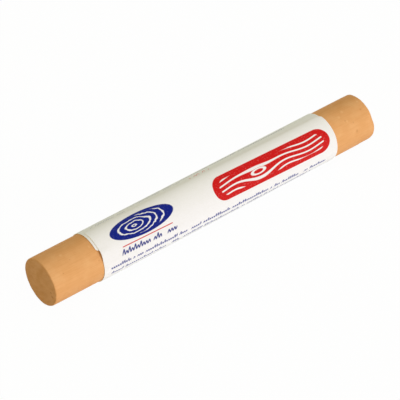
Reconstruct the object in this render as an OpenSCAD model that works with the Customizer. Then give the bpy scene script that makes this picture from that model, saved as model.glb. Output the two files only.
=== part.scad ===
// Furniture repair wax stick: a round stick of filler wax, lying on its side, in a wound paper label.
// +X runs along the stick from the near end to the far end, -Y is the front and Z = 0 is the surface it lies on.

/* [Wax stick] */
// Diameter of the wax stick
wax_d = 12.7; // [10:0.1:20]
// Length of the wax stick, from end face to end face
wax_len = 101.6; // [96:0.1:140]
// Radius of the rim round the near end face
near_rim_r = 0.5; // [0.2:0.1:2]
// Radius of the rim round the far end face
far_rim_r = 0.5; // [0.2:0.1:2]

/* [Paper label] */
// Length of the paper sheet along the stick
label_len = 74.2; // [50:0.1:78]
// Bare wax between the near end face and the sheet's first corner
near_bare = 13.9; // [8:0.1:16]
// Thickness of the paper
paper_t = 0.15; // [0.08:0.01:0.3]
// Clearance between the wax and the paper wound round it
slip = 0.05; // [0.02:0.01:0.1]
// Distance that the sheet, rolled on a little askew, creeps along the stick in one turn
creep = 0.66; // [0:0.02:1.5]
// Length by which the far edge, cut out of square, falls short at the sheet's last edge
far_trim = 0.4; // [0:0.05:1]
// Distance back from the last edge at which the far edge starts to fall short
trim_reach = 9; // [4:0.5:20]
// Depth to which the paper is pressed flat where the stick lies on it
foot_flat = 0.03; // [0.01:0.01:0.05]
// Radius to which the sheet's first near corner and its last far corner are worn
worn_corner_r = 1; // [0.3:0.1:2]

/* [Seam] */
// Angle of the sheet's first corner, from straight up towards the front
first_corner_angle = 40.5; // [10:0.5:80]
// Arc in which the sheet climbs onto its own first edge
climb_angle = 27; // [18:3:45]
// Arc of the lap, in which the sheet lies on its own start
lap_angle = 54; // [24:3:75]
// Room between the two layers of the lap
glue_t = 0.05; // [0.03:0.01:0.1]
// Arc left without glue along each edge of the lap
glue_edge_angle = 6; // [3:3:9]
// Length left without glue at each end of the lap
glue_end = 1.5; // [0.5:0.1:5]

/* [Hidden] */

full_turn = 360;
$fn = full_turn;
// Arc of one flat of the wound sheet, and the number of flats along it
flat_angle = 3;
flats_along = 4;
// Turn angles between which the flats run true along the stick, round the part that it lies on
true_from = 90;
true_to = 240;
// Clearance between the glue film and the paper on each side of it
glue_gap = 0.008;
// Reach of a cut past the surface that it opens
overrun = 0.5;

wax_r = wax_d / 2;
bore_r = wax_r + slip;
sheet_r = bore_r + paper_t;
lap_r = sheet_r + glue_t;
axis_z = sheet_r - foot_flat;
sheet_start = near_bare - wax_len / 2;

// Turn angles from the sheet's first edge: where it leaves the wax, and where it ends
lift_turn = full_turn - climb_angle;
last_turn = full_turn + lap_angle;
last_creep = creep * last_turn / full_turn;

// Length of a turn, and the share of it that the sheet's edges move round for each length along
turn_len = 2 * PI * sheet_r;
askew_share = creep / turn_len;

// Share of the climb that the sheet has made at a turn angle, level at both ends
function climb_share(turn) =
    let (share = min(1, max(0, (turn - lift_turn) / climb_angle)))
    share * share * (3 - 2 * share);

// Inside radius of the wound sheet at a turn angle
function sheet_inside(turn) = bore_r + (lap_r - bore_r) * climb_share(turn);

// Share of its askew lie that the sheet has at a turn angle: all at its edges, none where the flats run true
function askew_lie(turn) =
    turn < true_from
        ? 1 - turn / true_from
        : min(1, max(0, (turn - true_to) / (lift_turn - true_to)));

// Length that a worn corner takes off the sheet, at a distance from the edge that the corner is on
function worn_off(distance) =
    let (inset = max(0, worn_corner_r - distance))
    worn_corner_r - sqrt(worn_corner_r * worn_corner_r - inset * inset);

// Near and far ends of the sheet at a turn angle, along the sheet
function sheet_begin(turn) = worn_off(turn_len * turn / full_turn);
function sheet_end(turn) =
    let (back = turn_len * (last_turn - turn) / full_turn)
    label_len - worn_off(back) - far_trim * max(0, 1 - back / trim_reach);

// Point on the wound sheet: its turn angle, radius and distance from the sheet's near end
function wound_point(turn, r, along) =
    let (
        askew = askew_lie(turn) * full_turn * askew_share * along / turn_len,
        angle = 90 + first_corner_angle - turn + askew
    )
    [sheet_start + creep * turn / full_turn + along, r * cos(angle), axis_z + r * sin(angle)];

// Closed strip wound through a list of turns, with an inside and an outside radius and two ends at each
module wound_strip(turns, insides, outsides, nears, fars) {
    loop = 2 * (flats_along + 1);
    last = len(turns) - 1;
    points = [
        for (i = [0:last])
            let (row = [for (k = [0:flats_along]) nears[i] + (fars[i] - nears[i]) * k / flats_along])
            each concat(
                [for (k = [0:flats_along]) wound_point(turns[i], outsides[i], row[k])],
                [for (k = [flats_along:-1:0]) wound_point(turns[i], insides[i], row[k])]
            )
    ];
    sides = [
        for (i = [0:last - 1], k = [0:loop - 1])
            let (a = loop * i + k, b = loop * i + (k + 1) % loop)
            // Each flat is split on its shorter diagonal, which is the other one on the inside
            each k <= flats_along
                ? [[a, a + loop, b + loop], [a, b + loop, b]]
                : [[a, a + loop, b], [b, a + loop, b + loop]]
    ];
    first_edge = [
        for (k = [0:flats_along - 1])
            let (across = loop - 1 - k)
            each [[k, k + 1, across - 1], [k, across - 1, across]]
    ];
    last_edge = [for (face = first_edge) [for (k = [2:-1:0]) face[k] + loop * last]];
    polyhedron(points, concat(first_edge, sides, last_edge));
}

// Waste outside a rounded corner of radius r, about the corner's own centre
module corner_waste(r) {
    difference() {
        square(r + overrun);
        circle(r);
    }
}

module wax_stick() {
    color("sandybrown")
        translate([-wax_len / 2, 0, axis_z])
            rotate([0, 90, 0])
                rotate_extrude()
                    difference() {
                        square([wax_r, wax_len]);
                        translate([wax_r - near_rim_r, near_rim_r])
                            mirror([0, 1])
                                corner_waste(near_rim_r);
                        translate([wax_r - far_rim_r, wax_len - far_rim_r])
                            corner_waste(far_rim_r);
                    }
}

// One sheet wound a little over one turn, with its bore cut true and its underside pressed flat
module paper_label() {
    turns = [for (turn = [0:flat_angle:last_turn]) turn];
    cut_len = label_len + last_creep + 2 * overrun;
    color("ivory")
        difference() {
            wound_strip(
                turns,
                [for (turn = turns) sheet_inside(turn) - (turn > lift_turn ? 0 : overrun)],
                [for (turn = turns) sheet_inside(turn) + paper_t],
                [for (turn = turns) sheet_begin(turn)],
                [for (turn = turns) sheet_end(turn)]
            );
            translate([sheet_start - overrun, 0, axis_z])
                rotate([0, 90, 0])
                    cylinder(r = bore_r, h = cut_len);
            translate([sheet_start - overrun, -sheet_r, -overrun])
                cube([cut_len, 2 * sheet_r, overrun]);
        }
}

// Film between the start of the sheet and the end that laps it
module seam_glue() {
    turns = [for (turn = [full_turn + glue_edge_angle:flat_angle:last_turn - glue_edge_angle]) turn];
    color("wheat")
        wound_strip(
            turns,
            [for (turn = turns) sheet_r + glue_gap],
            [for (turn = turns) lap_r - glue_gap],
            [for (turn = turns) glue_end],
            [for (turn = turns) sheet_end(turn) - creep - glue_end]
        );
}

wax_stick();
paper_label();
seam_glue();
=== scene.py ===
import math

import bmesh
import bpy
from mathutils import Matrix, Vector


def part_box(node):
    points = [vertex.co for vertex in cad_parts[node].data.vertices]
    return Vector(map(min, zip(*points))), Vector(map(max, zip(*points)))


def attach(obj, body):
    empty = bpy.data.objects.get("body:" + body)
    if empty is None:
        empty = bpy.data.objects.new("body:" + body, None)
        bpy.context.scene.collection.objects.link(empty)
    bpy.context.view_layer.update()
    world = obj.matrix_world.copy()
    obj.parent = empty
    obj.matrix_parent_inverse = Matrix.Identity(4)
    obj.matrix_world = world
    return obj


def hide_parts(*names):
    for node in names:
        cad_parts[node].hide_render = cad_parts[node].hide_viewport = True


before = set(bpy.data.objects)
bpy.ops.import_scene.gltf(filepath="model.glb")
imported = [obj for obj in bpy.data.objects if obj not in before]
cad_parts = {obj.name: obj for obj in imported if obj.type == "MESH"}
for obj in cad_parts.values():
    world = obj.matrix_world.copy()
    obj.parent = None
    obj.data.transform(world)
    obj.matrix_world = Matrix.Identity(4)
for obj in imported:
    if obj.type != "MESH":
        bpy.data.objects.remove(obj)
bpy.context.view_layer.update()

bl_info = {
    "name": "Furniture wax stick",
    "version": (1, 0, 0),
    "blender": (4, 5, 0),
    "location": "View3D > Sidebar > Wax stick",
    "description": "Dresses a stick of filler wax in its wound paper label",
    "category": "Object",
}

# The wax's box, as the CAD model gives it
WAX_LOW, WAX_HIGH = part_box("wax_stick")

MM = 0.001
FULL_TURN = 2 * math.pi
QUARTER_TURN = math.pi / 2
WHITE = (1.0, 1.0, 1.0)
# Angle between two faces from which their edge is shaded as sharp
SHARP_ANGLE = math.radians(40)
# Width of the camera's sensor in millimetres; the image is taken as square
SENSOR_WIDTH = 36.0


def ink(red, green, blue):
    """A colour as it is read off a screen, as the linear values that Blender takes."""
    def linear(level):
        share = level / 255
        return share / 12.92 if share <= 0.04045 else ((share + 0.055) / 1.055) ** 2.4
    return (linear(red), linear(green), linear(blue))


def length_setting(name, description, default):
    return bpy.props.FloatProperty(
        name=name, description=description, default=default, unit="LENGTH", subtype="DISTANCE", precision=5)


def angle_setting(name, description, degrees):
    return bpy.props.FloatProperty(
        name=name, description=description, default=math.radians(degrees), unit="ROTATION", subtype="ANGLE")


def colour_setting(name, description, default):
    return bpy.props.FloatVectorProperty(
        name=name, description=description, default=default, subtype="COLOR", size=3, min=0, max=1)


def plain_setting(name, description, default):
    return bpy.props.FloatProperty(name=name, description=description, default=default)


class WaxSettings(bpy.types.PropertyGroup):
    """Sizes and colours of the wax."""

    length: length_setting("Length", "From end face to end face", WAX_HIGH.x - WAX_LOW.x)
    radius: length_setting("Radius", "Radius of the stick", (WAX_HIGH.y - WAX_LOW.y) / 2)
    axis_height: length_setting(
        "Axis height", "Height of the stick's axis over the floor", (WAX_LOW.z + WAX_HIGH.z) / 2)
    near_rim: length_setting("Near rim", "Radius of the rim round the near end face", 0.4 * MM)
    far_rim: length_setting("Far rim", "Radius of the rim round the far end face", 0.25 * MM)
    lumps: length_setting("Lumps", "Depth of the slow unevenness left by casting", 0.03 * MM)
    rim_wear: length_setting("Rim wear", "Depth of the nicks round both rims", 0.15 * MM)
    rub: length_setting("Rub", "Depth to which the far rim is rubbed down at the front", 0.22 * MM)
    chip: length_setting("Chip", "Depth of the shallow chip under the far end", 0.07 * MM)
    face_wear: length_setting("Face wear", "Depth of the unevenness of the end faces", 0.05 * MM)
    colour: colour_setting("Wax", "Colour of the clean wax", ink(229, 167, 113))
    # This colour also serves as painted shade over the end faces
    dull_and_face_shade: colour_setting("Dull wax", "Colour of the streaks and of the handled wax", ink(216, 152, 92))
    # Painted shade: the colour put at the bottom of the pits and over the end faces; the faces' blotches
    # take it too
    shade_and_dirt: colour_setting("Pits", "Colour at the bottom of the pits", ink(190, 124, 70))
    bloom: colour_setting("Bloom", "Colour of the pale specks and of the bloom", ink(243, 192, 142))


class LabelSettings(bpy.types.PropertyGroup):
    """Sizes and colours of the paper label."""

    length: length_setting("Length", "Length of the sheet along the stick", 74.2 * MM)
    start: length_setting("Start", "Place of the sheet's first corner along the stick", -36.9 * MM)
    bore: length_setting("Bore", "Inside radius of the first turn", 6.4 * MM)
    thickness: length_setting("Thickness", "Thickness of the paper", 0.15 * MM)
    rise: length_setting("Rise", "Height that the sheet climbs onto its own first edge", 0.2 * MM)
    creep: length_setting("Creep", "Distance that the sheet creeps along the stick in one turn", 0.66 * MM)
    trim: length_setting(
        "Far trim", "Length by which the far edge falls short at the sheet's last edge", 0.4 * MM)
    trim_reach: length_setting(
        "Trim reach", "Distance from the last edge at which the far edge starts to fall short", 9.0 * MM)
    worn_corner: length_setting(
        "Worn corner", "Radius to which the first near and the last far corner are worn", 1.0 * MM)
    lift: length_setting(
        "Lift", "Height that the paper stands off at the near end, where it climbs", 0.28 * MM)
    lift_reach: length_setting(
        "Lift reach", "Length along the stick on which the paper stands off", 6.0 * MM)
    press: length_setting(
        "Press", "Depth that the paper's near edge is pressed onto what it lies on", 0.035 * MM)
    press_reach: length_setting(
        "Press reach", "Length along the stick on which the paper is pressed down", 1.4 * MM)
    slack: length_setting("Slack", "Depth of the slow waves in the paper", 0.03 * MM)
    first_corner: angle_setting("First corner", "From straight up towards the front", 40.5)
    climb: angle_setting("Climb", "Arc in which the sheet climbs onto its first edge", 27)
    lap: angle_setting("Lap", "Arc in which the sheet lies on its own start", 54)
    paper: colour_setting("Paper", "Colour of the paper", ink(251, 247, 253))
    core: colour_setting("Core", "Colour of the paper's cut edges and of its back", ink(254, 240, 214))
    red: colour_setting("Red ink", "Colour of the red panel", ink(221, 24, 26))
    blue: colour_setting("Blue ink", "Colour of the blue panel and of the rows", ink(13, 34, 149))
    glue: colour_setting("Glue", "Colour of the dried glue in the seam", ink(214, 190, 140))


class StageSettings(bpy.types.PropertyGroup):
    """Floor, light and camera."""

    azimuth: angle_setting("Azimuth", "Camera's bearing from the front, towards +X", -38.884)
    elevation: angle_setting("Elevation", "Camera's height over the floor", 40.333)
    distance: length_setting("Distance", "From the camera to the middle of the stick", 608.2 * MM)
    lens: plain_setting("Lens", "Focal length in millimetres on a sensor 36 mm wide", 220.2)
    aside: length_setting("Aside", "Camera's place right of the line through the stick", -1.3755 * MM)
    above: length_setting("Above", "Camera's place above the line through the stick", -0.913 * MM)
    key: plain_setting("Key light", "Power of the large soft light at the front, in watts", 24.2)
    back: plain_setting("Back light", "Power of the weak soft light behind, in watts", 0.75)
    sky: plain_setting("Sky", "Strength of the even light from all round", 0.60)
    sky_colour: colour_setting("Sky colour", "Colour of the even light", (0.97, 0.99, 0.755))
    floor: colour_setting("Floor", "Colour that the floor throws onto the stick", (0.72, 0.73, 0.78))


class Wire:
    """A node's output, which takes part in sums with other wires and with numbers."""

    def __init__(self, nodes, socket):
        self.nodes = nodes
        self.socket = socket

    def __add__(self, other):
        return self.nodes.maths("ADD", self, other)

    __radd__ = __add__

    def __sub__(self, other):
        return self.nodes.maths("SUBTRACT", self, other)

    def __rsub__(self, other):
        return self.nodes.maths("SUBTRACT", other, self)

    def __mul__(self, other):
        return self.nodes.maths("MULTIPLY", self, other)

    __rmul__ = __mul__

    def __truediv__(self, other):
        return self.nodes.maths("DIVIDE", self, other)

    def __rtruediv__(self, other):
        return self.nodes.maths("DIVIDE", other, self)

    def __pow__(self, other):
        return self.nodes.maths("POWER", self, other)

    def __abs__(self):
        return self.nodes.maths("ABSOLUTE", self)

    def __neg__(self):
        return self.nodes.maths("MULTIPLY", self, -1)


class Nodes:
    """A node tree that is being made."""

    def __init__(self, tree):
        self.tree = tree

    def make(self, kind, settings=None, sockets=None):
        """Adds a node: its settings come first, then the values or wires of its sockets."""
        node = self.tree.nodes.new(kind)
        for name, value in (settings or {}).items():
            setattr(node, name, value)
        for key, value in (sockets or {}).items():
            if isinstance(value, Wire):
                self.tree.links.new(value.socket, node.inputs[key])
            else:
                node.inputs[key].default_value = value
        return node

    def wire(self, kind, settings=None, sockets=None, output=0):
        return Wire(self, self.make(kind, settings, sockets).outputs[output])

    def maths(self, operation, *terms):
        return self.wire("ShaderNodeMath", {"operation": operation}, dict(enumerate(terms)))

    def split(self, vector):
        node = self.make("ShaderNodeSeparateXYZ", None, {0: vector})
        return [Wire(self, socket) for socket in node.outputs]

    def join(self, x, y, z):
        return self.wire("ShaderNodeCombineXYZ", None, {0: x, 1: y, 2: z})

    def scaled(self, vector, factor):
        return self.wire(
            "ShaderNodeVectorMath", {"operation": "SCALE"}, {"Vector": vector, "Scale": factor})

    def fade(self, value, start, end):
        """0 up to start and 1 from end on, with a smooth change between."""
        return self.wire(
            "ShaderNodeMapRange", {"interpolation_type": "SMOOTHSTEP"},
            {0: value, 1: start, 2: end, 3: 0.0, 4: 1.0})

    def band(self, value, start, full, fading, end):
        """1 from full to fading, and 0 up to start and from end on."""
        return self.fade(value, start, full) * (1 - self.fade(value, fading, end))

    def noise(self, place, scale, detail=2.0, roughness=0.5):
        return self.wire(
            "ShaderNodeTexNoise", {"noise_dimensions": "3D"},
            {"Vector": place, "Scale": scale, "Detail": detail, "Roughness": roughness})

    def chance(self, number):
        return self.wire("ShaderNodeTexWhiteNoise", {"noise_dimensions": "1D"}, {"W": number})

    def tint(self, share, below, above):
        """Colour below where share is 0, and above where it is 1, by the colour sockets of a Mix."""
        return self.wire(
            "ShaderNodeMix", {"data_type": "RGBA"}, {0: share, 6: solid(below), 7: solid(above)}, output=2)

    def bump(self, height, strength, depth):
        return self.wire(
            "ShaderNodeBump", None, {"Height": height, "Strength": strength, "Distance": depth})

    def millimetres(self):
        """Place on the piece, in millimetres."""
        return self.scaled(self.wire("ShaderNodeTexCoord", output="Object"), 1 / MM)


def solid(colour):
    """A colour with the alpha that a socket wants, or a wire as it is."""
    return colour if isinstance(colour, Wire) else (*colour, 1.0)


def new_material(name):
    """An empty material and its nodes."""
    material = bpy.data.materials.new(name)
    material.use_nodes = True
    material.node_tree.nodes.clear()
    return material, Nodes(material.node_tree)


def finish_material(nodes, sockets):
    """Ends a material in a Principled surface."""
    surface = nodes.wire("ShaderNodeBsdfPrincipled", None, sockets)
    nodes.make("ShaderNodeOutputMaterial", None, {"Surface": surface})


# Pits in the wax: place along the stick in millimetres, angle round it in degrees, share of the
# stick's radius at which it lies, and its own radius in millimetres
PITS = (
    (44.9, 162, 1.0, 0.42),
    (48.4, 120, 1.0, 0.30),
    (44.6, 139, 1.0, 0.22),
    (42.6, 127, 1.0, 0.24),
    (-37.2, 149, 1.0, 0.20),
    (-47.2, 138, 1.0, 0.22),
    (-44.0, 118, 1.0, 0.16),
    (47.0, 205, 1.0, 0.36),
    (-41.5, 236, 1.0, 0.34),
    (43.0, 318, 1.0, 0.40),
    (-46.0, 20, 1.0, 0.36),
    (-50.8, 195, 0.78, 0.42),
    (-50.8, 184, 0.68, 0.34),
    (50.8, 70, 0.55, 0.40),
)
# Pale specks, given as the pits are
SPECKS = (
    (43.1, 130, 1.0, 0.34),
    (49.3, 98, 1.0, 0.40),
    (41.6, 113, 1.0, 0.42),
    (43.4, 104, 1.0, 0.46),
    (-37.8, 112, 1.0, 0.34),
    (-45.2, 99, 1.0, 0.42),
    (-43.0, 60, 1.0, 0.40),
    (45.5, 260, 1.0, 0.40),
    (-50.8, 216, 0.91, 0.52),
    (-50.8, 43, 0.39, 0.60),
    (50.8, 250, 0.70, 0.50),
)


# Reach of a pit or speck, as shares of its radius: whole up to the first and gone at the second
SPOT_SPAN = (0.1, 1.5)
# Patterns of the wax: share of the length that counts, noise scale for a millimetre, detail, roughness
STREAKS = (0.04, 3.6, 3.0, 0.6)
BROAD_STREAKS = (0.10, 0.75, 2.0, 0.5)
BLOTCHES = (1.0, 0.33, 3.0, 0.55)
WAX_GRAIN = (1.0, 5.5, 2.0, 0.6)
# Smears on the end faces: scale, detail and roughness, and the shares of y and z in their slant
SMEARS = (0.55, 4.0, 0.6)
SMEAR_SLANT = (0.8, 0.5)
# Spans of noise in which the patterns set in
STREAK_SPAN = (0.45, 0.67)
BROAD_SPAN = (0.40, 0.70)
BLOTCH_SPAN = (0.45, 0.75)
PALE_SPAN = (0.55, 0.25)
GRAIN_SPAN = (0.66, 0.8)
SMEAR_SPAN = (0.36, 0.66)
CLEAN_SPAN = (0.62, 0.36)
# Shares by which they dull the side, and by which they bring bloom to it
STREAK_DULLING = 0.34
BROAD_DULLING = 0.12
BLOTCH_DULLING = 0.20
PALE_BLOOM = 0.22
GRAIN_BLOOM = 0.25
# The same for the end faces: a darker tint all over them is painted shade, and their smears, bloom and
# blotches are the wax's own
FACE_PAINTED_SHADE = 0.35
SMEAR_DULLING = 0.5
CLEAN_BLOOM = 0.10
FACE_PAINTED_DARKENING = 0.06
BLOTCH_DIRT = 0.12
# Shares of the specks and of the painted shade in the pits, and how those on the faces differ
SPECK_BLOOM = 0.42
FACE_SPECK_LOSS = 0.6
PIT_PAINTED_SHADE = 0.4
FACE_PIT_PAINTED_SHADE = 0.4
# Distances from an end, in millimetres, between which the side's look gives way to the face's
FACE_START = 0.45
FACE_WHOLE = 0.1
# Fine relief: share of each pattern, then strength, and depth of the whole
STREAK_RELIEF = 0.35
GRAIN_RELIEF = 0.30
SMEAR_RELIEF = 0.5
PIT_RELIEF = 0.4
WAX_RELIEF = (0.5, 0.06 * MM)
# Roughness of the wax, and what the streaks and the faces add
WAX_ROUGHNESS = 0.46
STREAK_ROUGHNESS = 0.14
FACE_ROUGHNESS = 0.10
WAX_SPECULAR = 0.02


def spots(nodes, place, places, radius, axis_height):
    """How deep a point lies in any of a list of small round places on the wax."""
    total = 0.0
    start, end = SPOT_SPAN
    for along, degrees, share, size in places:
        angle = math.radians(degrees)
        out = share * radius
        centre = (along, out * math.cos(angle), axis_height + out * math.sin(angle))
        away = nodes.wire(
            "ShaderNodeVectorMath", {"operation": "DISTANCE"}, {0: place, 1: centre}, output="Value")
        total = total + (1 - nodes.fade(away, start * size, end * size))
    return total


def drawn_noise(nodes, place, pattern):
    """A noise that is drawn out along the stick."""
    share, *look = pattern
    x, y, z = nodes.split(place)
    return nodes.noise(nodes.join(x * share, y, z), *look)


def wax_material(wax):
    """Drawn filler wax: lengthwise streaks, bloom, pits darkened by painted shade and pale specks, with
    painted shade over the end faces.
    """
    material, nodes = new_material("Streaked wax")
    place = nodes.millimetres()
    x, y, z = nodes.split(place)
    radius, axis_height = wax.radius / MM, wax.axis_height / MM
    half = wax.length / MM / 2
    on_face = nodes.fade(abs(x), half - FACE_START, half - FACE_WHOLE)
    streaks = drawn_noise(nodes, place, STREAKS)
    broad = drawn_noise(nodes, place, BROAD_STREAKS)
    blotches = drawn_noise(nodes, place, BLOTCHES)
    grain = drawn_noise(nodes, place, WAX_GRAIN)
    slant_y, slant_z = SMEAR_SLANT
    smears = nodes.noise(nodes.join(x, y * slant_y + z * slant_z, z), *SMEARS)

    blotched = nodes.fade(blotches, *BLOTCH_SPAN)
    dulling = nodes.fade(streaks, *STREAK_SPAN) * STREAK_DULLING
    dulling = dulling + nodes.fade(broad, *BROAD_SPAN) * BROAD_DULLING
    dulling = dulling + blotched * BLOTCH_DULLING
    bloom = nodes.fade(blotches, *PALE_SPAN) * PALE_BLOOM
    bloom = bloom + nodes.fade(grain, *GRAIN_SPAN) * GRAIN_BLOOM
    side = nodes.tint(dulling, wax.colour, wax.dull_and_face_shade)
    side = nodes.tint(bloom, side, wax.bloom)
    # Painted shade: the end faces are tinted darker all over, towards the dull colour; the smears on them
    # are the wax's own
    smears_and_shade = FACE_PAINTED_SHADE + nodes.fade(smears, *SMEAR_SPAN) * SMEAR_DULLING
    face = nodes.tint(smears_and_shade, wax.colour, wax.dull_and_face_shade)
    face = nodes.tint(nodes.fade(smears, *CLEAN_SPAN) * CLEAN_BLOOM, face, wax.bloom)
    # More painted shade over the end faces, towards the pits' colour, with real blotches on it
    face = nodes.tint(FACE_PAINTED_DARKENING + blotched * BLOTCH_DIRT, face, wax.shade_and_dirt)
    colour = nodes.tint(on_face, side, face)
    specks = spots(nodes, place, SPECKS, radius, axis_height)
    colour = nodes.tint(specks * SPECK_BLOOM * (1 - FACE_SPECK_LOSS * on_face), colour, wax.bloom)
    # Painted shade: the pits are darker at their bottoms, and more so on the end faces
    pits = spots(nodes, place, PITS, radius, axis_height)
    colour = nodes.tint(pits * (PIT_PAINTED_SHADE + FACE_PIT_PAINTED_SHADE * on_face), colour, wax.shade_and_dirt)

    height = streaks * STREAK_RELIEF + grain * GRAIN_RELIEF
    height = height + smears * on_face * SMEAR_RELIEF - pits * PIT_RELIEF
    finish_material(nodes, {
        "Base Color": colour,
        "Roughness": WAX_ROUGHNESS + STREAK_ROUGHNESS * streaks + FACE_ROUGHNESS * on_face,
        "Specular IOR Level": WAX_SPECULAR,
        "Normal": nodes.bump(height, *WAX_RELIEF),
    })
    return material


def box_edge(nodes, across, down, half_across, half_down, corner):
    """Distance outside a rounded box, from distances across and down from its middle."""
    a = nodes.maths("MAXIMUM", abs(across) - (half_across - corner), 0)
    b = nodes.maths("MAXIMUM", abs(down) - (half_down - corner), 0)
    return nodes.maths("SQRT", a * a + b * b) - corner


# Softness of a printed edge, and of a line inside a panel, in millimetres
PRINT_SOFT = 0.05
LINE_SOFT = 0.12


def filled(nodes, edge, soft=PRINT_SOFT):
    """1 inside an edge and 0 outside it."""
    return 1 - nodes.fade(edge, -soft, soft)


# Strokes of a scribbled row: lean, share of the row's height that each has and that a tall one adds,
# and the numbers over which chance makes one tall or keeps it at all
STROKE_LEAN = 0.3
STROKE_LOW = 0.62
STROKE_TALL = 0.38
TALL_CHANCE = 0.7
KEPT_CHANCE = 0.15
KEPT_SEED = 77.3
# Half thickness of a stroke where it starts to fade and where it is gone, and softness of its ends,
# all as shares of the row's height
STROKE_SPAN = (0.06, 0.16)
STROKE_SOFT = 0.08


def scribble_row(nodes, along, down, first, last, level, height, pitch, seed):
    """A row of slanted strokes up and down in groups, some taller than the rest, that spells nothing."""
    leaning = along + STROKE_LEAN * down
    stroke = nodes.maths("FLOOR", leaning / pitch)
    swing = nodes.maths("PINGPONG", leaning, pitch / 2) * (2 / pitch)
    is_tall = nodes.maths("GREATER_THAN", nodes.chance(stroke + seed), TALL_CHANCE)
    tall = height * (STROKE_LOW + STROKE_TALL * is_tall)
    foot = level + height / 2
    steepness = nodes.maths("SQRT", 1 + (tall * (2 / pitch)) ** 2)
    away = abs(down - (foot - tall * swing)) / steepness
    core, rim = STROKE_SPAN
    drawn = 1 - nodes.fade(away, core * height, rim * height)
    drawn = drawn * filled(nodes, abs(down - (foot - tall / 2)) - tall / 2, STROKE_SOFT * height)
    kept = nodes.maths("GREATER_THAN", nodes.chance(stroke + (seed + KEPT_SEED)), KEPT_CHANCE)
    inside = nodes.band(along, first, first + PRINT_SOFT, last, last + PRINT_SOFT)
    return drawn * kept * inside


# Printed rows in millimetres on the sheet: start, end, distance from the sheet's last edge, height,
# pitch, seed, strength
BLUE_ROWS = (
    (5.4, 22.4, 9.6, 1.5, 0.86, 3.0, 0.95),
    (1.9, 70.4, 12.3, 1.1, 0.62, 211.0, 0.9),
    (2.2, 66.0, 14.25, 1.1, 0.6, 467.0, 0.85),
    (3.0, 13.5, 40.6, 0.85, 0.8, 823.0, 0.34),
    (15.5, 31.0, 39.7, 0.8, 0.8, 911.0, 0.34),
    (8.0, 64.5, 38.8, 0.85, 0.82, 1051.0, 0.6),
)
RED_ROWS = (
    (33.2, 39.4, 40.5, 0.8, 0.9, 1303.0, 0.8),
)
# The print's slant on the sheet, and the scale and depth of its rough edges in millimetres
PRINT_SLANT = 0.0061
EDGE_SCALE = 6.0
EDGE_DEPTH = 0.06
# Scuffs in the print: noise scale, detail and roughness, span, and the shares that they take away
SCUFFS = (2.2, 3.0, 0.65)
SCUFF_SPAN = (0.54, 0.74)
RED_SCUFF = 0.14
BLUE_SCUFF = 0.08
# Red panel in millimetres: its middle on the sheet, half its size, and half the size of its lines' field
RED_MIDDLE = (53.8, 6.1)
RED_HALF = (18.5, 3.3)
LINES_HALF = (16.6, 2.1)
# Lines of grain: height and rate of their waves, half their pitch, and how thick they are
WAVE_HEIGHT = 0.35
WAVE_RATE = 0.42
LINE_HALF_PITCH = 0.62
LINE_SPAN = (0.13, 0.23)
# The knot: its place left of the middle, how far and how much the lines part for it, the squares of its
# half width and half height, its ring's place and thickness, and the clear space round it
KNOT_ASIDE = 4.5
PART_REACH = 22.0
PART_AMOUNT = 1.25
KNOT_WIDE = 6.2
KNOT_TALL = 0.62
KNOT_RING = 0.78
KNOT_RING_SPAN = (0.14, 0.26)
KNOT_CLEAR = (1.0, 1.1)
# Blue oval in millimetres: its middle on the sheet, half its size, and its plain margin
BLUE_MIDDLE = (13.8, 4.7)
BLUE_HALF = (9.4, 2.95)
BLUE_MARGIN = 0.62
# Growth rings: their heart's place left of the middle, the square of their stretch, the strength and
# scale of two noises that bend them, half their pitch, and how thick they are
HEART_ASIDE = 2.2
RING_STRETCH = 7.5
RING_BENDS = ((0.7, 0.45), (0.3, 1.1))
RING_HALF_PITCH = 0.36
RING_SPAN = (0.05, 0.14)
# Red rule: its distance from the sheet's last edge, half its size, its corners and its strength
RULE_LEVEL = 8.25
RULE_HALF = (7.6, 0.13)
RULE_CORNER = 0.1
RULE_STRENGTH = 0.9
# Paper: fibres and clouds as noise scale for a millimetre, detail and roughness, the span in which
# fibres show, and the shares and colour by which both shade the paper
FIBRES = (3.2, 4.0, 0.65)
CLOUDS = (0.16, 2.0)
FIBRE_SPAN = (0.4, 0.8)
FIBRE_SHADE = 0.12
CLOUD_SHADE = 0.06
PAPER_SHADE = ink(214, 206, 188)
# Relief's strength and depth, roughness with what fibres add and ink takes away, and the paper's nap
PAPER_RELIEF = (0.35, 0.03 * MM)
PAPER_ROUGHNESS = 0.58
FIBRE_ROUGHNESS = 0.10
INK_SMOOTHNESS = 0.10
PAPER_NAP = {
    "Specular IOR Level": 0.05,
    "Diffuse Roughness": 1.0,
    "Sheen Weight": 1.0,
    "Sheen Roughness": 0.35,
}


def red_panel(nodes, along, down, rough_edge):
    """A panel with lines of wood grain that part round a knot."""
    across, below = along - RED_MIDDLE[0], down - RED_MIDDLE[1]
    panel = filled(nodes, box_edge(nodes, across, below, *RED_HALF, RED_HALF[1]) + rough_edge)
    aside = across + KNOT_ASIDE
    swell = nodes.maths("EXPONENT", -1 * aside * aside / PART_REACH)
    waved = below + WAVE_HEIGHT * nodes.maths("SINE", across * WAVE_RATE)
    grain = waved / (1 + PART_AMOUNT * swell)
    line = nodes.maths("PINGPONG", grain + LINE_HALF_PITCH, LINE_HALF_PITCH)
    lines = 1 - nodes.fade(line, *LINE_SPAN)
    lines = lines * filled(nodes, box_edge(nodes, across, below, *LINES_HALF, LINES_HALF[1]), LINE_SOFT)
    knot = nodes.maths("SQRT", aside * aside / KNOT_WIDE + below * below / KNOT_TALL)
    ring = 1 - nodes.fade(abs(knot - KNOT_RING), *KNOT_RING_SPAN)
    lines = nodes.maths("MAXIMUM", lines * nodes.fade(knot, *KNOT_CLEAR), ring)
    return panel * (1 - lines)


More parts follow.
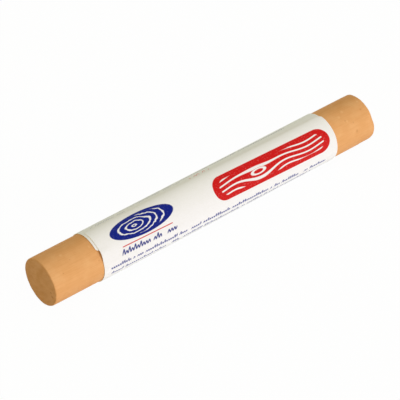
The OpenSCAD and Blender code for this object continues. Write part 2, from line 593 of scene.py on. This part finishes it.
def blue_oval(nodes, place, along, down, rough_edge):
    """An oval with growth rings."""
    across, below = along - BLUE_MIDDLE[0], down - BLUE_MIDDLE[1]
    half_across, half_down = BLUE_HALF
    squares = across * across / (half_across * half_across) + below * below / (half_down * half_down)
    oval = (nodes.maths("SQRT", squares) - 1) * half_down
    aside = across + HEART_ASIDE
    rings = nodes.maths("SQRT", aside * aside / RING_STRETCH + below * below)
    for strength, scale in RING_BENDS:
        rings = rings + strength * nodes.noise(place, scale)
    rings = 1 - nodes.fade(nodes.maths("PINGPONG", rings, RING_HALF_PITCH), *RING_SPAN)
    rings = rings * filled(nodes, oval + BLUE_MARGIN, LINE_SOFT)
    return filled(nodes, oval + rough_edge) * (1 - rings)


def paper_material(label, name, printed):
    """Uncoated label paper, with or without its print."""
    material, nodes = new_material(name)
    place = nodes.millimetres()
    fibres = nodes.noise(place, *FIBRES)
    clouds = nodes.noise(place, *CLOUDS)
    shade = nodes.fade(fibres, *FIBRE_SPAN) * FIBRE_SHADE + clouds * CLOUD_SHADE
    colour = nodes.tint(shade, label.paper if printed else label.core, PAPER_SHADE)
    roughness = PAPER_ROUGHNESS + FIBRE_ROUGHNESS * fibres
    if printed:
        u, v, _ = nodes.split(nodes.wire("ShaderNodeUVMap", {"uv_map": "UVMap"}))
        length = label.length / MM
        width = (FULL_TURN + label.lap) * (label.bore + label.thickness + label.rise / 2) / MM
        along = u * length
        down = (1 - v) * width - (along - length / 2) * PRINT_SLANT
        rough_edge = (nodes.noise(place, EDGE_SCALE) - 0.5) * EDGE_DEPTH
        scuffs = nodes.fade(nodes.noise(place, *SCUFFS), *SCUFF_SPAN)
        red = red_panel(nodes, along, down, rough_edge)
        colour = nodes.tint(red * (1 - RED_SCUFF * scuffs), colour, label.red)
        blue = blue_oval(nodes, place, along, down, rough_edge)
        colour = nodes.tint(blue * (1 - BLUE_SCUFF * scuffs), colour, label.blue)
        rule = box_edge(nodes, along - BLUE_MIDDLE[0], down - RULE_LEVEL, *RULE_HALF, RULE_CORNER)
        colour = nodes.tint(filled(nodes, rule) * RULE_STRENGTH, colour, label.red)
        for rows, row_ink in ((BLUE_ROWS, label.blue), (RED_ROWS, label.red)):
            for *layout, strength in rows:
                row = scribble_row(nodes, along, down, *layout)
                colour = nodes.tint(row * strength, colour, row_ink)
        roughness = roughness - INK_SMOOTHNESS * (red + blue)
    finish_material(nodes, {
        "Base Color": colour,
        "Roughness": roughness,
        "Normal": nodes.bump(fibres, *PAPER_RELIEF),
        **PAPER_NAP,
    })
    return material


# Dried paste: its clouds as the paper's are given, their colour, roughness with what they add, relief
PASTE_CLOUDS = (0.8, 4.0, 0.6)
PASTE_CLOUDY = ink(236, 222, 186)
PASTE_ROUGHNESS = 0.30
CLOUD_ROUGHNESS = 0.2
PASTE_RELIEF = (0.4, 0.02 * MM)


def glue_material(label):
    """Dried paste, a little cloudy."""
    material, nodes = new_material("Dried paste")
    clouds = nodes.noise(nodes.millimetres(), *PASTE_CLOUDS)
    finish_material(nodes, {
        "Base Color": nodes.tint(clouds, label.glue, PASTE_CLOUDY),
        "Roughness": PASTE_ROUGHNESS + CLOUD_ROUGHNESS * clouds,
        "Normal": nodes.bump(clouds, *PASTE_RELIEF),
    })
    return material


def new_tree(name, sizes, takes_mesh=False):
    """A geometry tree with a named input for each size, and wires from them."""
    tree = bpy.data.node_groups.new(name, "GeometryNodeTree")
    if takes_mesh:
        tree.interface.new_socket(name="Geometry", in_out="INPUT", socket_type="NodeSocketGeometry")
    for size in sizes:
        kind = "NodeSocketInt" if isinstance(sizes[size], int) else "NodeSocketFloat"
        tree.interface.new_socket(name=size, in_out="INPUT", socket_type=kind)
    tree.interface.new_socket(name="Geometry", in_out="OUTPUT", socket_type="NodeSocketGeometry")
    nodes = Nodes(tree)
    entry = nodes.make("NodeGroupInput")
    return nodes, {socket.name: Wire(nodes, socket) for socket in entry.outputs if socket.name}


def end_tree(nodes, geometry, dressings):
    """Ends a tree in Realize Instances, a Set Material for each finish, and the output."""
    geometry = nodes.wire("GeometryNodeRealizeInstances", None, {"Geometry": geometry})
    for material, where in dressings:
        sockets = {"Geometry": geometry, "Material": material}
        if where is not None:
            sockets["Selection"] = where
        geometry = nodes.wire("GeometryNodeSetMaterial", None, sockets)
    nodes.make("NodeGroupOutput", None, {0: geometry})


def run_tree(obj, nodes, sizes):
    """Runs a geometry tree on an object and leaves its result as a plain mesh."""
    modifier = obj.modifiers.new(nodes.tree.name, "NODES")
    modifier.node_group = nodes.tree
    for item in nodes.tree.interface.items_tree:
        if item.in_out == "INPUT" and item.name in sizes:
            modifier[item.identifier] = sizes[item.name]
    depsgraph = bpy.context.evaluated_depsgraph_get()
    mesh = bpy.data.meshes.new_from_object(
        obj.evaluated_get(depsgraph), preserve_all_data_layers=True, depsgraph=depsgraph)
    if not mesh.polygons:
        raise RuntimeError(nodes.tree.name + " made no faces")
    obj.modifiers.remove(modifier)
    obj.data = mesh
    mesh.name = obj.name
    mesh.shade_smooth()
    mesh.set_sharp_from_angle(angle=SHARP_ANGLE)
    return mesh


def new_piece(name, mesh):
    """An object with a mesh, put into the scene."""
    obj = bpy.data.objects.new(name, mesh)
    bpy.context.scene.collection.objects.link(obj)
    return obj


# Lathe steps: angle steps round the stick, and lengths of the steps along it and across its faces
ROUND_STEPS = 180
FINE_STEP = 0.35 * MM
COARSE_STEP = 3.0 * MM
FACE_STEP = 0.45 * MM
RIM_STEPS = 7
# Length at each end with fine steps: all that the label can bare
FINE_LENGTH = 27 * MM


def stops(start, end, step):
    """Even stops from start to end, both left out, at most a step apart."""
    count = max(1, math.ceil(abs(end - start) / step))
    return [start + (end - start) * k / count for k in range(1, count)]


def wax_profile(wax):
    """Half profile of the stick as pairs of place along it and radius, without its two poles."""
    half, radius = wax.length / 2, wax.radius
    near, far = wax.near_rim, wax.far_rim
    profile = [(-half, r) for r in stops(0, radius - near, FACE_STEP)]
    for k in range(RIM_STEPS + 1):
        angle = QUARTER_TURN * k / RIM_STEPS
        profile.append((-half + near - near * math.cos(angle), radius - near + near * math.sin(angle)))
    ends = (-half + near, -half + FINE_LENGTH, half - FINE_LENGTH, half - far)
    for start, end, step in zip(ends, ends[1:], (FINE_STEP, COARSE_STEP, FINE_STEP)):
        profile += [(x, radius) for x in stops(start, end, step)]
        if end != ends[-1]:
            profile.append((end, radius))
    for k in range(RIM_STEPS + 1):
        angle = QUARTER_TURN * k / RIM_STEPS
        profile.append((half - far + far * math.sin(angle), radius - far + far * math.cos(angle)))
    profile += [(half, r) for r in stops(radius - far, 0, FACE_STEP)]
    return profile


def turned_wax(wax):
    """The stick turned from its half profile, closed by a pole in each face."""
    form = bmesh.new()
    rings = []
    for x, r in wax_profile(wax):
        rings.append([
            form.verts.new((x, r * math.cos(a), wax.axis_height + r * math.sin(a)))
            for a in (FULL_TURN * k / ROUND_STEPS for k in range(ROUND_STEPS))])
    poles = [form.verts.new((side * wax.length / 2, 0, wax.axis_height)) for side in (-1, 1)]
    for k in range(ROUND_STEPS):
        after = (k + 1) % ROUND_STEPS
        form.faces.new((poles[0], rings[0][after], rings[0][k]))
        form.faces.new((poles[1], rings[-1][k], rings[-1][after]))
        for low, high in zip(rings, rings[1:]):
            form.faces.new((low[k], low[after], high[after], high[k]))
    bmesh.ops.recalc_face_normals(form, faces=form.faces)
    mesh = bpy.data.meshes.new("wax_body")
    form.to_mesh(mesh)
    form.free()
    return mesh


# Reach of the wear at a rim and on a face, and the stretch from the middle in which the far end's sets in
RIM_REACH = 2.0 * MM
FACE_REACH = 0.1 * MM
FAR_SPAN = (0.0, 10 * MM)
# Wear as noise: scale for a metre, detail and roughness, and the spans in which nicks and flats set in
LUMP_NOISE = (140.0, 2.0)
NICK_NOISE = (420.0, 3.0, 0.55)
FLAT_NOISE = (210.0, 1.0)
WAVE_NOISE = (330.0, 3.0, 0.5)
NICK_SPAN = (0.38, 0.72)
FLAT_SPAN = (0.35, 0.68)
# Shares of the rim's wear that nicks and flats have, and what the far rim adds to each
NICK_SHARE = 0.25
FAR_NICKS = 0.2
FLAT_SHARE = 0.2
FAR_FLATS = 0.1
# Angle of the upper front, from which the angles of the rub and the chip are counted
UPPER_FRONT = math.radians(135)
RUB_ANGLES = [math.radians(degrees) for degrees in (-80, -55, 14, 38)]
CHIP_ANGLES = [math.radians(degrees) for degrees in (62, 72, 96, 112)]
# The chip's start and full depth from the far end, and its reach inwards
CHIP_START = 4.0 * MM
CHIP_WHOLE = 3.5 * MM
CHIP_REACH = 1.0 * MM


def wear_tree(sizes, material):
    """Wear on the wax, all of it inwards: lumps, nicked rims, uneven faces, the rubbed far rim, a chip."""
    nodes, size = new_tree("Worn wax", sizes, takes_mesh=True)
    place = nodes.wire("GeometryNodeInputPosition")
    normal = nodes.wire("GeometryNodeInputNormal")
    x, y, z = nodes.split(place)
    from_axis = z - size["Axis height"]
    radius = nodes.maths("SQRT", y * y + from_axis * from_axis)
    from_end = size["Half length"] - abs(x)
    far = nodes.fade(x, *FAR_SPAN)
    at_rim = 1 - nodes.fade(from_end, 0.0, RIM_REACH)
    at_rim = at_rim * nodes.fade(radius, size["Radius"] - RIM_REACH, size["Radius"])
    on_face = 1 - nodes.fade(from_end, 0.0, FACE_REACH)
    lumps = nodes.noise(place, *LUMP_NOISE)
    nicks = nodes.fade(nodes.noise(place, *NICK_NOISE), *NICK_SPAN)
    flats = nodes.fade(nodes.noise(place, *FLAT_NOISE), *FLAT_SPAN)
    waves = nodes.noise(place, *WAVE_NOISE)
    # Angle round the stick, counted so that it doesn't jump on the side that shows
    ahead = y * math.cos(UPPER_FRONT) + from_axis * math.sin(UPPER_FRONT)
    aside = from_axis * math.cos(UPPER_FRONT) - y * math.sin(UPPER_FRONT)
    turned = nodes.maths("ARCTAN2", aside, ahead)
    rubbed = nodes.band(turned, *RUB_ANGLES)
    chipped = nodes.band(turned, *CHIP_ANGLES)
    chipped = chipped * nodes.fade(x, size["Half length"] - CHIP_START, size["Half length"] - CHIP_WHOLE)
    rim_wear = nicks * (NICK_SHARE + FAR_NICKS * far) + flats * (FLAT_SHARE + FAR_FLATS * far)
    depth = (
        lumps * size["Lumps"]
        + at_rim * far * size["Rub"] * rubbed
        + size["Chip"] * chipped * nodes.fade(radius, size["Radius"] - CHIP_REACH, size["Radius"])
        + at_rim * size["Rim wear"] * rim_wear
        + on_face * size["Face wear"] * waves)
    moved = nodes.wire(
        "GeometryNodeSetPosition", None,
        {"Geometry": size["Geometry"], "Offset": nodes.scaled(normal, -depth)})
    end_tree(nodes, moved, [(material, None)])
    return nodes


# Steps of the sheet's grid along the stick and round it
SHEET_STEPS_ALONG = 120
SHEET_STEPS_ROUND = 276
# Distance within which the two skins of the sheet are joined at its edges
JOIN_DISTANCE = 0.002 * MM
# Scale for a metre and detail of the slow waves in the paper
PAPER_WAVES = (130.0, 2.0)
# Turns, as shares of the climb's arc before one whole turn, at which the near edge's lift starts, is
# whole, fades and ends, at which the lap's press starts and is whole, and at which the first turn's
# press fades and ends
LIFT_ARC = (1.2, 0.3, 0.3, -0.2)
LAP_PRESS_ARC = (0.1, -0.3)
FIRST_PRESS_ARC = (1.6, 1.2)
# Share of the climb's arc after the lap in which the first turn's press sets in
FIRST_PRESS_START = 0.4


def wound_tree(sizes, plain, printed):
    """One sheet wound a little over one turn, climbing onto its own first edge."""
    nodes, size = new_tree("Wound sheet", sizes)
    flat = nodes.wire("GeometryNodeMeshGrid", None, {
        "Size X": 1.0, "Size Y": 1.0, "Vertices X": size["Steps along"], "Vertices Y": size["Steps round"]})
    place = nodes.wire("GeometryNodeInputPosition")
    x, y, _ = nodes.split(place)
    u, v = x + 0.5, y + 0.5
    flat = nodes.wire(
        "GeometryNodeStoreNamedAttribute", {"data_type": "FLOAT2", "domain": "CORNER"},
        {"Geometry": flat, "Name": "UVMap", "Value": nodes.join(u, v, 0.0)})
    turn = v * (FULL_TURN + size["Lap"])
    corner = size["Worn corner"]

    def worn_off(distance):
        inset = nodes.maths("MAXIMUM", corner - distance, 0)
        return corner - nodes.maths("SQRT", corner * corner - inset * inset)

    sheet_radius = size["Bore"] + size["Thickness"]
    back = (FULL_TURN + size["Lap"] - turn) * sheet_radius
    near = worn_off(turn * sheet_radius)
    trimmed = nodes.maths("MAXIMUM", 1 - back / size["Trim reach"], 0)
    far = size["Length"] - worn_off(back) - size["Far trim"] * trimmed
    along = near + u * (far - near)
    climbed = nodes.fade(turn, FULL_TURN - size["Climb"], FULL_TURN)
    around = FULL_TURN * sheet_radius
    slewed = FULL_TURN * size["Creep"] / around * along / around
    angle = QUARTER_TURN + size["First corner"] - turn + slewed
    cosine = nodes.maths("COSINE", angle)
    sine = nodes.maths("SINE", angle)
    waves = nodes.noise(nodes.join(along, cosine * size["Bore"], sine * size["Bore"]), *PAPER_WAVES)

    def before_whole_turn(shares):
        return [FULL_TURN - share * size["Climb"] for share in shares]

    lifting = nodes.band(turn, *before_whole_turn(LIFT_ARC))
    lifting = lifting * (1 - nodes.fade(along, 0.0, size["Lift reach"]))
    lap_press = nodes.fade(turn, *before_whole_turn(LAP_PRESS_ARC))
    first_press = nodes.band(
        turn, size["Lap"], size["Lap"] + FIRST_PRESS_START * size["Climb"],
        *before_whole_turn(FIRST_PRESS_ARC))
    pressing = (lap_press + first_press) * (1 - nodes.fade(along, 0.0, size["Press reach"]))
    radius = size["Bore"] + size["Rise"] * climbed + size["Lift"] * lifting
    radius = radius - size["Press"] * pressing
    radius = radius - size["Slack"] * waves * (1 - climbed) * (1 - pressing)
    wound = nodes.join(
        size["Start"] + size["Creep"] * turn / FULL_TURN + along,
        cosine * radius,
        size["Axis height"] + sine * radius)
    inner = nodes.wire("GeometryNodeSetPosition", None, {"Geometry": flat, "Position": wound})
    outer = nodes.make(
        "GeometryNodeExtrudeMesh", {"mode": "FACES"},
        {"Mesh": inner, "Offset Scale": size["Thickness"], "Individual": False})
    turned = nodes.wire("GeometryNodeFlipFaces", None, {"Mesh": inner})
    both = nodes.make("GeometryNodeJoinGeometry")
    for part in (outer.outputs["Mesh"], turned.socket):
        nodes.tree.links.new(part, both.inputs[0])
    closed = nodes.wire("GeometryNodeMergeByDistance", None, {
        "Geometry": Wire(nodes, both.outputs[0]), "Distance": JOIN_DISTANCE})
    # The paper is pressed flat where it lies on the floor
    x, y, z = nodes.split(place)
    resting = nodes.wire("GeometryNodeSetPosition", None, {
        "Geometry": closed, "Position": nodes.join(x, y, nodes.maths("MAXIMUM", z, 0.0))})
    end_tree(nodes, resting, [(plain, None), (printed, Wire(nodes, outer.outputs["Top"]))])
    return nodes


class WAXSTICK_OT_wax(bpy.types.Operator):
    """Turn the stick of wax and wear its rims and faces"""

    bl_idname = "waxstick.wax"
    bl_label = "Make the wax"

    def execute(self, context):
        wax = context.scene.wax_stick_wax
        piece = new_piece("wax_body", turned_wax(wax))
        sizes = {
            "Axis height": wax.axis_height,
            "Half length": wax.length / 2,
            "Radius": wax.radius,
            "Lumps": wax.lumps,
            "Rim wear": wax.rim_wear,
            "Rub": wax.rub,
            "Chip": wax.chip,
            "Face wear": wax.face_wear,
        }
        run_tree(piece, wear_tree(sizes, wax_material(wax)), sizes)
        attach(piece, "stick")
        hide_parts("wax_stick")
        return {"FINISHED"}


class WAXSTICK_OT_label(bpy.types.Operator):
    """Wind the printed paper label round the stick"""

    bl_idname = "waxstick.label"
    bl_label = "Make the label"

    def execute(self, context):
        label = context.scene.wax_stick_label
        piece = new_piece("wound_label", bpy.data.meshes.new("wound_label"))
        sizes = {
            "Steps along": SHEET_STEPS_ALONG + 1,
            "Steps round": SHEET_STEPS_ROUND + 1,
            "Length": label.length,
            "Start": label.start,
            "Bore": label.bore,
            "Thickness": label.thickness,
            "Rise": label.rise,
            "Creep": label.creep,
            "Far trim": label.trim,
            "Trim reach": label.trim_reach,
            "Worn corner": label.worn_corner,
            "Lift": label.lift,
            "Lift reach": label.lift_reach,
            "Press": label.press,
            "Press reach": label.press_reach,
            "Slack": label.slack,
            "First corner": label.first_corner,
            "Climb": label.climb,
            "Lap": label.lap,
            "Axis height": context.scene.wax_stick_wax.axis_height,
        }
        plain = paper_material(label, "Plain paper", False)
        printed = paper_material(label, "Printed paper", True)
        run_tree(piece, wound_tree(sizes, plain, printed), sizes)
        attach(piece, "sleeve")
        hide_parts("paper_label")
        return {"FINISHED"}


class WAXSTICK_OT_glue(bpy.types.Operator):
    """Give the glue in the lap its finish"""

    bl_idname = "waxstick.glue"
    bl_label = "Finish the glue"

    def execute(self, context):
        film = bpy.data.objects["seam_glue"]
        film.data.materials.clear()
        film.data.materials.append(glue_material(context.scene.wax_stick_label))
        return {"FINISHED"}


# Lamps: bearing from the front, height, distance, width and colour
KEY_LAMP = (math.radians(20), math.radians(9), 1.8, 1.1, (0.96, 0.97, 1.0))
BACK_LAMP = (math.radians(165), math.radians(40), 1.2, 0.9, (1.0, 1.0, 0.92))
# Nearest and farthest that the camera sees
CLIP = (0.01, 20)
FLOOR_WIDTH = 4.0
# Faint grain of the floor: noise scale for a metre, share and colour
FLOOR_GRAIN = 60.0
FLOOR_GRAIN_SHARE = 0.02
FLOOR_GREY = (0.9, 0.9, 0.9)
# Share of the floor's own light and shade that the camera sees
SHADOW_SHARE = 0.03


def toward(azimuth, elevation):
    """Direction from the stick to a place at a bearing and height."""
    level = math.cos(elevation)
    return Vector((math.sin(azimuth) * level, -math.cos(azimuth) * level, math.sin(elevation)))


def soft_light(name, middle, layout, power):
    """A round lamp that faces the stick."""
    azimuth, elevation, distance, width, colour = layout
    lamp = bpy.data.lights.new(name, "AREA")
    lamp.shape = "DISK"
    lamp.size = width
    lamp.energy = power
    lamp.color = colour
    obj = bpy.data.objects.new(name, lamp)
    back = toward(azimuth, elevation)
    obj.location = middle + back * distance
    obj.rotation_euler = back.to_track_quat("Z", "Y").to_euler()
    bpy.context.scene.collection.objects.link(obj)


def seen(nodes):
    """1 for a ray from the camera, a mirror or a glass, and 0 for any other."""
    path = nodes.make("ShaderNodeLightPath")
    names = ("Is Camera Ray", "Is Glossy Ray", "Is Transmission Ray")
    direct, mirrored, passed = [Wire(nodes, path.outputs[name]) for name in names]
    return nodes.maths("MAXIMUM", direct, nodes.maths("MAXIMUM", mirrored, passed))


def floor_material(stage):
    """White to the eye with a faint shadow, and a soft grey to the light."""
    material, nodes = new_material("White floor")
    grain = nodes.noise(nodes.wire("ShaderNodeTexCoord", output="Object"), FLOOR_GRAIN)
    paint = nodes.tint(grain * FLOOR_GRAIN_SHARE, WHITE, FLOOR_GREY)
    white = nodes.wire("ShaderNodeEmission", None, {"Color": solid(WHITE), "Strength": 1.0})
    matt = nodes.wire("ShaderNodeBsdfDiffuse", None, {"Color": paint})
    bounce = nodes.wire("ShaderNodeBsdfDiffuse", None, {"Color": solid(tuple(stage.floor))})
    to_eye = nodes.wire("ShaderNodeMixShader", None, {0: SHADOW_SHARE, 1: white, 2: matt})
    surface = nodes.wire("ShaderNodeMixShader", None, {0: seen(nodes), 1: bounce, 2: to_eye})
    nodes.make("ShaderNodeOutputMaterial", None, {"Surface": surface})
    return material


def light_world(stage):
    """White to the eye, and an even light to the stick."""
    world = bpy.data.worlds.new("Studio")
    world.use_nodes = True
    world.node_tree.nodes.clear()
    nodes = Nodes(world.node_tree)
    white = nodes.wire("ShaderNodeBackground", None, {"Color": solid(WHITE), "Strength": 1.0})
    even = nodes.wire(
        "ShaderNodeBackground", None, {"Color": solid(tuple(stage.sky_colour)), "Strength": stage.sky})
    surface = nodes.wire("ShaderNodeMixShader", None, {0: seen(nodes), 1: even, 2: white})
    nodes.make("ShaderNodeOutputWorld", None, {"Surface": surface})
    bpy.context.scene.world = world


class WAXSTICK_OT_stage(bpy.types.Operator):
    """Lay the floor, set the lights and place the camera"""

    bl_idname = "waxstick.stage"
    bl_label = "Set the stage"

    def execute(self, context):
        scene, stage = context.scene, context.scene.wax_stick_stage
        middle = Vector((0, 0, scene.wax_stick_wax.axis_height))
        form = bmesh.new()
        bmesh.ops.create_grid(form, x_segments=2, y_segments=2, size=FLOOR_WIDTH / 2)
        mesh = bpy.data.meshes.new("floor")
        form.to_mesh(mesh)
        form.free()
        mesh.materials.append(floor_material(stage))
        new_piece("floor", mesh)
        soft_light("key_light", middle, KEY_LAMP, stage.key)
        soft_light("back_light", middle, BACK_LAMP, stage.back)
        light_world(stage)

        camera = bpy.data.cameras.new("camera")
        camera.sensor_width = SENSOR_WIDTH
        camera.sensor_fit = "HORIZONTAL"
        camera.lens = stage.lens
        camera.clip_start, camera.clip_end = CLIP
        obj = bpy.data.objects.new("camera", camera)
        back = toward(stage.azimuth, stage.elevation)
        right = Vector((math.cos(stage.azimuth), math.sin(stage.azimuth), 0))
        up = back.cross(right)
        obj.location = middle + back * stage.distance + right * stage.aside + up * stage.above
        obj.rotation_euler = back.to_track_quat("Z", "Y").to_euler()
        scene.collection.objects.link(obj)
        scene.camera = obj
        scene.view_settings.view_transform = "Standard"
        return {"FINISHED"}


class WAXSTICK_PT_panel(bpy.types.Panel):
    """Sizes, colours and steps of the wax stick"""

    bl_idname = "WAXSTICK_PT_panel"
    bl_label = "Wax stick"
    bl_space_type = "VIEW_3D"
    bl_region_type = "UI"
    bl_category = "Wax stick"

    def draw(self, context):
        for settings, steps in STEPS:
            box = self.layout.box()
            group = getattr(context.scene, settings)
            for name in group.__annotations__:
                box.prop(group, name)
            for step in steps:
                box.operator(step.bl_idname)


STEPS = (
    ("wax_stick_wax", (WAXSTICK_OT_wax,)),
    ("wax_stick_label", (WAXSTICK_OT_label, WAXSTICK_OT_glue)),
    ("wax_stick_stage", (WAXSTICK_OT_stage,)),
)
GROUPS = {
    "wax_stick_wax": WaxSettings,
    "wax_stick_label": LabelSettings,
    "wax_stick_stage": StageSettings,
}
CLASSES = (
    *GROUPS.values(),
    WAXSTICK_OT_wax,
    WAXSTICK_OT_label,
    WAXSTICK_OT_glue,
    WAXSTICK_OT_stage,
    WAXSTICK_PT_panel,
)


def register():
    for item in CLASSES:
        bpy.utils.register_class(item)
    for name, group in GROUPS.items():
        setattr(bpy.types.Scene, name, bpy.props.PointerProperty(type=group))


def unregister():
    for name in GROUPS:
        delattr(bpy.types.Scene, name)
    for item in reversed(CLASSES):
        bpy.utils.unregister_class(item)


def main():
    register()
    bpy.ops.waxstick.wax()
    bpy.ops.waxstick.label()
    bpy.ops.waxstick.glue()
    bpy.ops.waxstick.stage()


if __name__ == "__main__":
    main()
